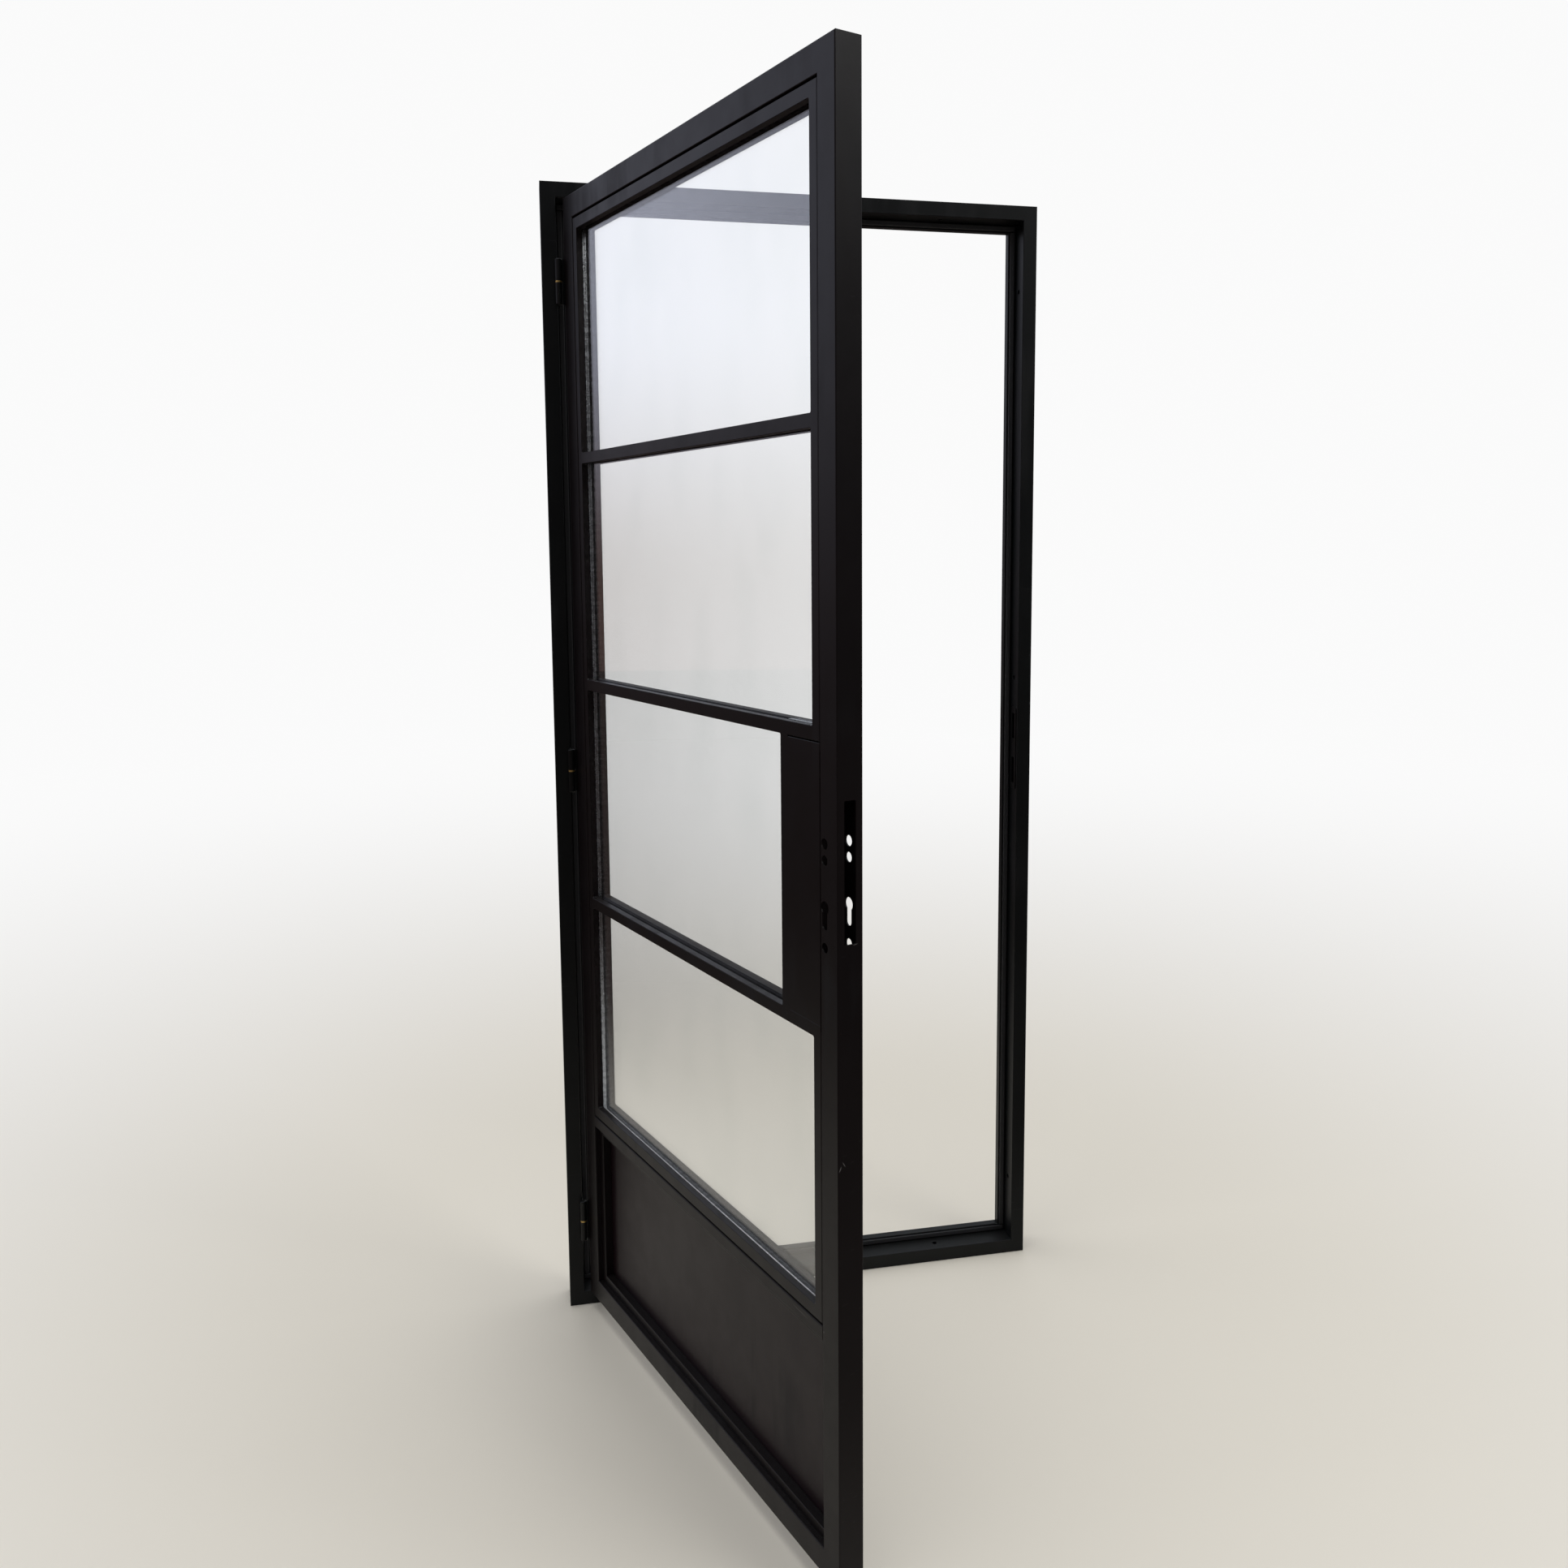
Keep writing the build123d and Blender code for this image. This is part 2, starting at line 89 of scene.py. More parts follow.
camera_data = bpy.data.cameras.new("door_camera")
camera_data.sensor_width = SENSOR_WIDTH
camera_data.lens = FOCAL_PIXELS / FRAME_PIXELS * SENSOR_WIDTH
camera_data.shift_x = (FRAME_PIXELS / 2 - CENTRE_PIXEL[0]) / FRAME_PIXELS
camera_data.shift_y = (CENTRE_PIXEL[1] - FRAME_PIXELS / 2) / FRAME_PIXELS
camera = bpy.data.objects.new("door_camera", camera_data)
turn = Matrix((right, -down, -forward)).transposed()
camera.matrix_world = Matrix.Translation(CAMERA_PLACE) @ turn.to_4x4()
bpy.context.scene.collection.objects.link(camera)
bpy.context.scene.camera = camera
bpy.context.scene.view_settings.view_transform = "Standard"
print("lens", round(camera_data.lens, 2), "mm")

# %% [markdown]
# ## Helpers for node trees
# Every finish below is a tree of shader nodes. A few small helpers keep that readable: each
# adds a node or two, wires the inputs (a number, a colour or another node's output) and
# returns the output, so that a finish can be written almost like a sum.

# %% Helpers for numbers and colours
def feed(tree, socket, value):
    """Sets a socket to a number or colour, or links another node's output to it."""
    if isinstance(value, bpy.types.NodeSocket):
        tree.links.new(value, socket)
    else:
        socket.default_value = value


def sums(tree, operation, *values):
    """One Math node."""
    node = tree.nodes.new("ShaderNodeMath")
    node.operation = operation
    for socket, value in zip(node.inputs, values):
        feed(tree, socket, value)
    return node.outputs[0]


def fade(tree, value, start, end, low=0.0, high=1.0):
    """Goes smoothly from low at the start value to high at the end value."""
    node = tree.nodes.new("ShaderNodeMapRange")
    node.interpolation_type = "SMOOTHSTEP"
    for socket, number in zip(node.inputs, (value, start, end, low, high)):
        feed(tree, socket, number)
    return node.outputs[0]


def blend(tree, share, first, second):
    """Mixes two colours."""
    node = tree.nodes.new("ShaderNodeMix")
    node.data_type = "RGBA"
    for name, value in (("Factor", share), ("A", first), ("B", second)):
        feed(tree, [s for s in node.inputs if s.name == name and s.enabled][0], value)
    return [s for s in node.outputs if s.enabled][0]


print("helpers for numbers and colours ready")

# %% [markdown]
# The next helpers are about places: a spot on a piece, its three coordinates, how long a
# vector is, and a noise that is tied to the spot, so that a pattern stays where it is.

# %% Helpers for places
def object_place(tree):
    """Object coordinates: a spot on a piece, in the scene's metres."""
    return tree.nodes.new("ShaderNodeTexCoord").outputs["Object"]


def split(tree, vector):
    """The X, Y and Z of a vector."""
    node = tree.nodes.new("ShaderNodeSeparateXYZ")
    feed(tree, node.inputs[0], vector)
    return node.outputs


def length(tree, vector):
    """The length of a vector."""
    node = tree.nodes.new("ShaderNodeVectorMath")
    node.operation = "LENGTH"
    feed(tree, node.inputs[0], vector)
    return node.outputs["Value"]


def noise(tree, place, waves, detail, stretch=None):
    """A noise of so many waves a metre, stretched along the axes if asked."""
    if stretch:
        node = tree.nodes.new("ShaderNodeMapping")
        node.inputs["Scale"].default_value = stretch
        feed(tree, node.inputs["Vector"], place)
        place = node.outputs[0]
    node = tree.nodes.new("ShaderNodeTexNoise")
    node.inputs["Scale"].default_value = waves
    node.inputs["Detail"].default_value = detail
    feed(tree, node.inputs["Vector"], place)
    return node.outputs["Fac"]


print("helpers for places ready")

# %% [markdown]
# The last helpers are about whole shaders: a new material, a shader that glows, one shader
# over another, a bumpy skin, and masks that tell how a ray of light has come.

# %% Helpers for shaders
def new_material(name):
    """A material with one Principled shader; returns it, its tree and that shader."""
    material = bpy.data.materials.new(name)
    material.use_nodes = True
    return material, material.node_tree, material.node_tree.nodes["Principled BSDF"]


def glow(tree, kind, colour):
    """A shader that gives off a colour: an Emission or a Background node."""
    node = tree.nodes.new(kind)
    feed(tree, node.inputs["Color"], colour)
    return node.outputs[0]


def cover(tree, share, under, over):
    """Lays one shader over another."""
    node = tree.nodes.new("ShaderNodeMixShader")
    for socket, value in zip(node.inputs, (share, under, over)):
        feed(tree, socket, value)
    return node.outputs[0]


def bumpy(tree, shader, height, strength, distance):
    """Feeds a height to a shader's normal through a Bump node."""
    node = tree.nodes.new("ShaderNodeBump")
    node.inputs["Strength"].default_value = strength
    node.inputs["Distance"].default_value = distance
    feed(tree, node.inputs["Height"], height)
    feed(tree, shader.inputs["Normal"], node.outputs[0])


def sight(tree):
    """Two masks: seen by the camera, in a mirror or through glass; and mirrored on the way."""
    rays = tree.nodes.new("ShaderNodeLightPath").outputs
    bent = sums(tree, "MAXIMUM", rays["Is Glossy Ray"], rays["Is Transmission Ray"])
    seen = sums(tree, "MAXIMUM", rays["Is Camera Ray"], bent)
    return seen, sums(tree, "MINIMUM", rays["Glossy Depth"], 1.0)


print("helpers for shaders ready")

# %% [markdown]
# ## Studio
# Black paint shows little colour of its own: what we see is mostly what it mirrors. So the
# studio matters more than the paint. A white backdrop goes all the way round: the camera,
# mirrored rays and rays through glass all see it. Dark flags stand low in front of it, as
# product photography uses them to give a black thing its shading. They are tall behind the
# camera and low behind the door, warm on the left and almost black on the right, where the
# white is dimmed too. They show only in mirrored rays, so that every view keeps its white
# backdrop. Scattered light comes from an even, soft grey sky.

# %% World
BACKDROP, SOFT_LIGHT = (0.96, 0.96, 0.96, 1), (0.62, 0.63, 0.67, 1)
COOL_WHITE, DIM_WHITE = (0.80, 0.83, 1.0, 1), (0.50, 0.53, 0.57, 1)
WARM_FLAG, DARK_FLAG = (0.185, 0.122, 0.112, 1), (0.080, 0.077, 0.080, 1)
CAMERA_SIDE, DOOR_SIDE = -0.95, 0.35
TALL_FLAG, LOW_FLAG, FLAG_EDGE = 0.42, -0.03, 0.22
LEFT_SIDE, RIGHT_SIDE = -0.62, -0.12

world = bpy.data.worlds.new("soft_studio")
bpy.context.scene.world = world
world.use_nodes = True
sky = world.node_tree
sky.nodes.clear()
direction = split(sky, sky.nodes.new("ShaderNodeTexCoord").outputs["Generated"])
flag_top = fade(sky, direction["Y"], CAMERA_SIDE, DOOR_SIDE, low=TALL_FLAG, high=LOW_FLAG)
above_flags = fade(sky, sums(sky, "SUBTRACT", direction["Z"], flag_top), 0.0, FLAG_EDGE)
right_side = fade(sky, direction["X"], LEFT_SIDE, RIGHT_SIDE)
flags = blend(sky, right_side, WARM_FLAG, DARK_FLAG)
whites = blend(sky, right_side, COOL_WHITE, DIM_WHITE)
mirror_view = blend(sky, above_flags, flags, whites)
seen, mirrored = sight(sky)
backdrop = glow(sky, "ShaderNodeBackground", blend(sky, mirrored, BACKDROP, mirror_view))
soft_light = glow(sky, "ShaderNodeBackground", SOFT_LIGHT)
sky_out = sky.nodes.new("ShaderNodeOutputWorld")
feed(sky, sky_out.inputs["Surface"], cover(sky, seen, soft_light, backdrop))
print("world nodes:", len(sky.nodes))

# %% [markdown]
# ## Floor
# A wide pale disc carries the door and takes its shadow. Far from the door it melts into
# the white of the backdrop, so that no horizon line cuts through the glass. In mirrored
# light only, the flags lie on the floor too, far out and to the right: they keep the coat's
# reflections deep at waist height, while the near floor still glows in the kick panel.

# %% Floor
FLOOR_RADIUS, FLOOR_DROP, FLOOR_ROUGHNESS = 14, 0.0004, 0.65
FLOOR_PAINT, FLOOR_FLAG = (0.82, 0.77, 0.655, 1), (0.072, 0.056, 0.053, 1)
RIGHTWARD_X, RIGHTWARD_Y = 0.8, -0.6
FLAG_NEAR, FLAG_FAR = 0.4, 2.2
RIGHT_NEAR, RIGHT_FAR, RIGHT_SHARE = 0.15, 0.9, 0.8
MELT_OFFSET, MELT_NEAR, MELT_FAR = 2.4, 0.31, 0.10

bpy.ops.object.select_all(action="DESELECT")
bpy.ops.mesh.primitive_circle_add(vertices=96, radius=FLOOR_RADIUS, fill_type="NGON",
                                  location=(0, 0, -FLOOR_DROP))
bpy.ops.object.transform_apply(location=True, rotation=True, scale=True)
floor = bpy.context.object
floor.name = "studio_floor"
floor_finish, tree, paint = new_material("pale_floor")
paint.inputs["Base Color"].default_value = FLOOR_PAINT
paint.inputs["Roughness"].default_value = FLOOR_ROUGHNESS
spot = object_place(tree)
distance, axes = length(tree, spot), split(tree, spot)
rightward = sums(tree, "MULTIPLY", axes["Y"], RIGHTWARD_Y)
rightward = sums(tree, "MULTIPLY_ADD", axes["X"], RIGHTWARD_X, rightward)
far_out = fade(tree, distance, FLAG_NEAR, FLAG_FAR)
far_right = fade(tree, rightward, RIGHT_NEAR, RIGHT_FAR, low=0.0, high=RIGHT_SHARE)
seen, mirrored = sight(tree)
flag_share = sums(tree, "MULTIPLY", mirrored, sums(tree, "MAXIMUM", far_out, far_right))
flagged = cover(tree, flag_share, paint.outputs[0], glow(tree, "ShaderNodeEmission", FLOOR_FLAG))
nearness = sums(tree, "DIVIDE", 1.0, sums(tree, "ADD", distance, MELT_OFFSET))
direct = sums(tree, "SUBTRACT", seen, mirrored)
melting = sums(tree, "MULTIPLY", direct, fade(tree, nearness, MELT_NEAR, MELT_FAR))
melted = cover(tree, melting, flagged, glow(tree, "ShaderNodeEmission", BACKDROP))
feed(tree, tree.nodes["Material Output"].inputs["Surface"], melted)
floor.data.materials.append(floor_finish)
print("floor radius", FLOOR_RADIUS, "m")

# %% [markdown]
# ## Lamps
# Two large, weak area lamps. The key hangs high on the right, in front of the door: its soft
# mirror image lights the top of the leaf's lock edge and fades downwards. The other hangs
# right above the door and lights the floor and every ledge that faces up.

# %% Lamps
def add_lamp(name, place, target, side, watts):
    """A square soft lamp that looks at a target."""
    data = bpy.data.lights.new(name, "AREA")
    data.size = side
    data.energy = watts
    lamp = bpy.data.objects.new(name, data)
    lamp.location = place
    lamp.rotation_euler = (Vector(target) - Vector(place)).to_track_quat("-Z", "Y").to_euler()
    bpy.context.scene.collection.objects.link(lamp)


add_lamp("key_lamp", place=(2.9, -3.1, 4.4), target=(-0.1, -0.6, 1.6), side=2.0, watts=44)
add_lamp("top_lamp", place=(-0.3, -0.3, 5.4), target=(-0.3, -0.3, 0), side=3.0, watts=60)

# %% [markdown]
# ## The spacer between the panes
# The two panes are held apart by a thin aluminium tube that runs all the way round. Its inner
# face has a row of small slots, so that the drying beads inside can take up moisture. They
# could be painted on, but from the camera they show as a dotted line up the hinge side of each
# lite, so they are cut. One stretch with one slot is modelled from a plane: inset for the
# slot, its corners bevelled, its floor pushed in.

# %% One slot
SLOT_PITCH, SLOT_LENGTH, SLOT_WIDTH, SLOT_DEPTH = 0.00275, 0.0014, 0.0026, 0.0006
SLOT_INSET, SLOT_CORNER, SLOT_AREA_LIMIT = 0.0004, 0.0004, 0.000005
SPACER_WIDTH, SPACER_HEIGHT = 0.0059, 0.0065
NEAR = 0.00001


def select_where(mesh_part, keep):
    """Selects the faces or vertices of the object in edit mode that pass a test."""
    bpy.ops.mesh.select_all(action="DESELECT")
    bpy.ops.object.mode_set(mode="OBJECT")
    for item in getattr(bpy.context.object.data, mesh_part):
        item.select = keep(item)
    bpy.ops.object.mode_set(mode="EDIT")


def cut_slot(pitch):
    """Pushes one slot with cut corners into the plane that is in edit mode."""
    middle = Vector((pitch / 2, 0, 0))
    length_share = SLOT_LENGTH / (pitch - 2 * SLOT_INSET)
    width_share = SLOT_WIDTH / (SPACER_WIDTH - 2 * SLOT_INSET)
    bpy.ops.mesh.select_mode(type="FACE")
    bpy.ops.mesh.select_all(action="SELECT")
    bpy.ops.mesh.inset(thickness=SLOT_INSET, depth=0)
    bpy.ops.transform.resize(value=(length_share, width_share, 1), center_override=tuple(middle))
    bpy.ops.mesh.select_mode(type="VERT")
    bpy.ops.mesh.bevel(offset=SLOT_CORNER, segments=1, affect="VERTICES")
    select_where("polygons", lambda f: (f.center - middle).length < NEAR and f.area < SLOT_AREA_LIMIT)
    bpy.ops.mesh.select_mode(type="FACE")
    bpy.ops.mesh.extrude_region_move(TRANSFORM_OT_translate={"value": (0, 0, -SLOT_DEPTH)})


print("slot pitch", SLOT_PITCH * 1000, "mm")

# %% [markdown]
# An Array modifier repeats the slot along a run, and the border is extruded into a tube with
# mitred ends. The level run under the lowest lite shines as one smooth line, so the level runs
# stay plain. The faces inside the slots get a mark of their own, which the spacer's finish
# reads later to paint shade into them.

# %% One run of spacer
SLOT_MERGE, RECESS_AREA_LIMIT = 0.00005, 0.00001
NEAR_BACK, NEAR_FACE = -0.9 * SPACER_HEIGHT, -0.1 * SLOT_DEPTH


def repeat_slots(piece, pitch, count):
    """Repeats a stretch along X and merges the stretches to one sheet."""
    array = piece.modifiers.new("slots", "ARRAY")
    array.count = count
    array.use_relative_offset = False
    array.use_constant_offset = True
    array.constant_offset_displace = (pitch, 0, 0)
    array.use_merge_vertices = True
    array.merge_threshold = SLOT_MERGE
    bpy.ops.object.modifier_apply(modifier="slots")


def close_tube(run_length, start_grows, end_grows):
    """Extrudes the border of the sheet, caps it and shifts the ends of the back for mitres."""
    bpy.ops.object.mode_set(mode="EDIT")
    bpy.ops.mesh.select_mode(type="EDGE")
    bpy.ops.mesh.select_all(action="SELECT")
    bpy.ops.mesh.region_to_loop()
    bpy.ops.mesh.extrude_edges_move(TRANSFORM_OT_translate={"value": (0, 0, -SPACER_HEIGHT)})
    bpy.ops.mesh.edge_face_add()
    bpy.ops.mesh.select_mode(type="VERT")
    for edge, shift in ((0.0, -SPACER_HEIGHT * start_grows), (run_length, SPACER_HEIGHT * end_grows)):
        select_where("vertices", lambda v: abs(v.co.x - edge) < NEAR and v.co.z < NEAR_BACK)
        bpy.ops.transform.translate(value=(shift, 0, 0))
    bpy.ops.mesh.select_all(action="SELECT")
    bpy.ops.mesh.normals_make_consistent(inside=False)
    bpy.ops.object.mode_set(mode="OBJECT")


def spacer_run(start, end, facing, start_grows, end_grows, slotted):
    """A tube from start to end, slotted if asked; its ends grow or shrink outwards by a mitre."""
    run = Vector(end) - Vector(start)
    count = round(run.length / SLOT_PITCH) if slotted else 1
    pitch = run.length / count
    bpy.ops.object.select_all(action="DESELECT")
    bpy.ops.mesh.primitive_plane_add(size=1, location=(pitch / 2, 0, 0))
    piece = bpy.context.object
    piece.scale = (pitch, SPACER_WIDTH, 1)
    bpy.ops.object.transform_apply(location=True, rotation=True, scale=True)
    bpy.ops.object.mode_set(mode="EDIT")
    if slotted:
        cut_slot(pitch)
    bpy.ops.object.mode_set(mode="OBJECT")
    repeat_slots(piece, pitch, count)
    close_tube(run.length, start_grows, end_grows)
    recess = piece.data.attributes.new("recess", "FLOAT", "FACE")
    for polygon in piece.data.polygons:
        inside = NEAR_BACK < polygon.center.z < NEAR_FACE and polygon.area < RECESS_AREA_LIMIT
        recess.data[polygon.index].value = 1.0 if inside else 0.0
    along, up = run.normalized(), Vector(facing)
    place = Matrix((along, up.cross(along), up)).transposed().to_4x4()
    piece.matrix_world = leaf_to_scene @ Matrix.Translation(start) @ place
    bpy.ops.object.transform_apply(location=True, rotation=True, scale=True)
    return piece


print("spacer section", SPACER_WIDTH * 1000, "by", SPACER_HEIGHT * 1000, "mm")

# %% [markdown]
# The spacer steps round the box for the lock beside the third lite, so its ring has eight
# runs. Corners of the ring that turn inwards have tube ends that grow outwards, and the two
# corners of the step have ends that shrink. All runs are joined to one piece, which stands
# for the plain ring of the CAD model and swings with the leaf.

# %% Ring of spacer
HINGE_RUN, LOCK_RUN, STEP_RUN = 0.0555, 0.8105, 0.727
RING_BOTTOM, STEP_BOTTOM, STEP_TOP, RING_TOP = 0.4155, 0.80425, 1.224, 2.0135
SPACER_DEPTH = 0.0185
UP, DOWN, TO_LOCK, TO_HINGE = (0, 0, 1), (0, 0, -1), (1, 0, 0), (-1, 0, 0)
runs = (
    ((HINGE_RUN, RING_BOTTOM), (LOCK_RUN, RING_BOTTOM), UP, 1, 1),
    ((LOCK_RUN, RING_BOTTOM), (LOCK_RUN, STEP_BOTTOM), TO_HINGE, 1, 1),
    ((LOCK_RUN, STEP_BOTTOM), (STEP_RUN, STEP_BOTTOM), DOWN, 1, -1),
    ((STEP_RUN, STEP_BOTTOM), (STEP_RUN, STEP_TOP), TO_HINGE, -1, -1),
    ((STEP_RUN, STEP_TOP), (LOCK_RUN, STEP_TOP), UP, -1, 1),
    ((LOCK_RUN, STEP_TOP), (LOCK_RUN, RING_TOP), TO_HINGE, 1, 1),
    ((LOCK_RUN, RING_TOP), (HINGE_RUN, RING_TOP), DOWN, 1, 1),
    ((HINGE_RUN, RING_TOP), (HINGE_RUN, RING_BOTTOM), TO_LOCK, 1, 1),
)
tubes = []
for (along_a, height_a), (along_b, height_b), facing, grows_a, grows_b in runs:
    start, end = (along_a, SPACER_DEPTH, height_a), (along_b, SPACER_DEPTH, height_b)
    upright = facing in (TO_LOCK, TO_HINGE)
    tubes.append(spacer_run(start, end, facing, grows_a, grows_b, slotted=upright))
bpy.ops.object.select_all(action="DESELECT")
for tube in tubes:
    tube.select_set(True)
bpy.context.view_layer.objects.active = tubes[0]
bpy.ops.object.join()
spacer = bpy.context.object
spacer.name = "slotted_spacer"
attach(spacer, "leaf")
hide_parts("glass_spacer")

# %% [markdown]
# ## The painted seam
# Beside the lock stile the glazing frame sits almost tight, and paint and filler have run into
# the seam. Above the lock cover the seam's line fades upwards until it is gone, and below the
# cover it is shallow. Next to the cover it stays open. Each of the two stretches is a cube made
# into a strip, and the upper end of its face is moved to its own depth.

# %% Strips of filler
SEAM_ALONG, SEAM_WIDTH, SEAM_BACK = 0.8255, 0.00098, 0.004


def seam_strip(name, bottom, top, low_depth, high_depth):
    """A strip that fills the seam, with its face at one depth below and another above."""
    mid_depth, mid_height = (low_depth + SEAM_BACK) / 2, (bottom + top) / 2
    bpy.ops.object.select_all(action="DESELECT")
    bpy.ops.mesh.primitive_cube_add(size=1, location=(SEAM_ALONG, mid_depth, mid_height))
    strip = bpy.context.object
    strip.name = name
    strip.scale = (SEAM_WIDTH, SEAM_BACK - low_depth, top - bottom)
    bpy.ops.object.transform_apply(location=True, rotation=True, scale=True)
    bpy.ops.object.mode_set(mode="EDIT")
    bpy.ops.mesh.select_mode(type="VERT")
    select_where("vertices", lambda v: v.co.y < mid_depth and v.co.z > mid_height)
    bpy.ops.transform.translate(value=(0, high_depth - low_depth, 0))
    bpy.ops.object.mode_set(mode="OBJECT")
    strip.matrix_world = leaf_to_scene
    bpy.ops.object.transform_apply(location=True, rotation=True, scale=True)
    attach(strip, "leaf")
    return strip


seam_strips = [
    seam_strip("upper_seam_filler", bottom=1.193, top=2.025, low_depth=0.00045, high_depth=0.00002),
    seam_strip("lower_seam_filler", bottom=0.404, top=0.815, low_depth=0.0004, high_depth=0.0004),
]
print("seam strips:", [strip.name for strip in seam_strips])

# %% [markdown]
# ## Powder coat
# The steel is sprayed with black powder and baked. Up close such a coat has a fine skin like
# orange peel, its gloss changes a little from place to place, and it is never quite one
# black. These three effects are shared by every coated piece, so they live in one node
# group that puts out a colour, a roughness and a height. Each material then sets its own tone.

# %% Powder coat group
GLOSS_SPREAD, SWELL_SHARE = 0.02, 3.0


def new_group(name, inputs, outputs):
    """An empty node group with named sockets; returns the tree, its inputs and its outputs."""
    group = bpy.data.node_groups.new(name, "ShaderNodeTree")
    for way_through, sockets in (("INPUT", inputs), ("OUTPUT", outputs)):
        for socket_name, kind in sockets.items():
            group.interface.new_socket(socket_name, in_out=way_through, socket_type="NodeSocket" + kind)
    return group, group.nodes.new("NodeGroupInput").outputs, group.nodes.new("NodeGroupOutput").inputs


coat_group, given, result = new_group(
    "powder_coat", {"Place": "Vector", "Tone": "Color", "Lift": "Color", "Gloss": "Float"},
    {"Color": "Color", "Roughness": "Float", "Height": "Float"})
cloud = noise(coat_group, given["Place"], waves=5.0, detail=4.0)
cloud = fade(coat_group, cloud, start=0.35, end=0.7)
feed(coat_group, result["Color"], blend(coat_group, cloud, given["Tone"], given["Lift"]))
mottle = noise(coat_group, given["Place"], waves=24.0, detail=3.0)
mottle = fade(coat_group, mottle, start=0.3, end=0.7, low=-GLOSS_SPREAD, high=GLOSS_SPREAD)
feed(coat_group, result["Roughness"], sums(coat_group, "ADD", given["Gloss"], mottle))
peel = noise(coat_group, given["Place"], waves=620.0, detail=2.0)
swell = noise(coat_group, given["Place"], waves=6.0, detail=1.0)
swell = sums(coat_group, "MULTIPLY", swell, SWELL_SHARE)
feed(coat_group, result["Height"], sums(coat_group, "ADD", peel, swell))
print("powder coat nodes:", len(coat_group.nodes))

# %% [markdown]
# ## Signs of handling
# A new door is carried, leaned and wiped before it is hung. Hands leave soft, dull, mostly
# upright smears on the coat, above all where they grip the top rail, and a cloth leaves fine
# scratches. Each is a mask from 0 to 1 in a group of its own. On the leaf the masks read leaf
# coordinates, on the frame and the hinges object coordinates, so that the marks stay in place.

# %% Smears and scratches
GRIP_INSIDE, GRIP_OUTSIDE = 0.30, 0.55
GRIP_LOW, GRIP_HIGH = 1.99, 2.03
UPRIGHT, CROSSWISE = (1, 1, 0.16), (0.16, 1, 5.0)

smear_group, given, result = new_group("hand_smears", {"Place": "Vector"}, {"Mask": "Float"})
patches = noise(smear_group, given["Place"], waves=3.2, detail=2.0)
patches = fade(smear_group, patches, start=0.52, end=0.68)
spots = split(smear_group, given["Place"])
grip_along = fade(smear_group, spots["X"], GRIP_OUTSIDE, GRIP_INSIDE)
grip_up = fade(smear_group, spots["Z"], GRIP_LOW, GRIP_HIGH)
grip = sums(smear_group, "MULTIPLY", grip_along, grip_up)
patches = sums(smear_group, "MAXIMUM", patches, grip)
strokes = noise(smear_group, given["Place"], waves=26.0, detail=4.0, stretch=UPRIGHT)
strokes = fade(smear_group, strokes, start=0.45, end=0.66)
feed(smear_group, result["Mask"], sums(smear_group, "MULTIPLY", patches, strokes))

scratch_group, given, result = new_group("fine_scratches", {"Place": "Vector"}, {"Mask": "Float"})
lines = noise(scratch_group, given["Place"], waves=60.0, detail=2.0, stretch=CROSSWISE)
lines = fade(scratch_group, lines, start=0.685, end=0.72)
wiped = noise(scratch_group, given["Place"], waves=4.0, detail=2.0)
wiped = fade(scratch_group, wiped, start=0.5, end=0.66)
feed(scratch_group, result["Mask"], sums(scratch_group, "MULTIPLY", lines, wiped))
print("smears and scratches:", len(smear_group.nodes) + len(scratch_group.nodes), "nodes")

# %% [markdown]
# Knocks leave a few small pale marks on the lock edge and the mid rail. Each mark is an oval:
# a Mapping node moves the oval's middle to zero and its rim to a distance of one, and the
# distance is then faded. The places, half sizes and leans are those of this door's marks.

# %% Knock marks
KNOCKS = (
    ((LEAF_WIDTH, 0.0034, 0.640), (0.002, 0.0009, 0.0052), (-25, 0, 0)),
    ((LEAF_WIDTH, 0.0092, 0.6455), (0.002, 0.0007, 0.0056), (30, 0, 0)),
    ((LEAF_WIDTH, 0.0280, 0.9412), (0.002, 0.0050, 0.0005), (8, 0, 0)),
    ((0.768, 0, 0.3918), (0.026, 0.002, 0.0004), (0, 2, 0)),
    ((0.829, 0, 0.3932), (0.0012, 0.002, 0.0018), (0, 0, 0)),
)
KNOCK_CORE = 0.35


def knock_mark(tree, place, centre, half_size, lean):
    """An oval mark at a place on the leaf, with half sizes in metres and its lean in degrees."""
    node = tree.nodes.new("ShaderNodeMapping")
    node.vector_type = "TEXTURE"
    node.inputs["Location"].default_value = centre
    node.inputs["Rotation"].default_value = [math.radians(angle) for angle in lean]
    node.inputs["Scale"].default_value = half_size
    feed(tree, node.inputs["Vector"], place)
    return fade(tree, length(tree, node.outputs[0]), start=1.0, end=KNOCK_CORE)


knock_group, given, result = new_group("knock_marks", {"Place": "Vector"}, {"Mask": "Float"})
knocks = 0.0
for centre, half_size, lean in KNOCKS:
    mark = knock_mark(knock_group, given["Place"], centre, half_size, lean)
    knocks = sums(knock_group, "MAXIMUM", mark, knocks)
feed(knock_group, result["Mask"], knocks)
print("knock marks:", len(KNOCKS))

# %% [markdown]
# Dust settles on ledges. The mask reads which way a face looks: only faces that look up get
# dust, and a fine noise breaks it into specks.

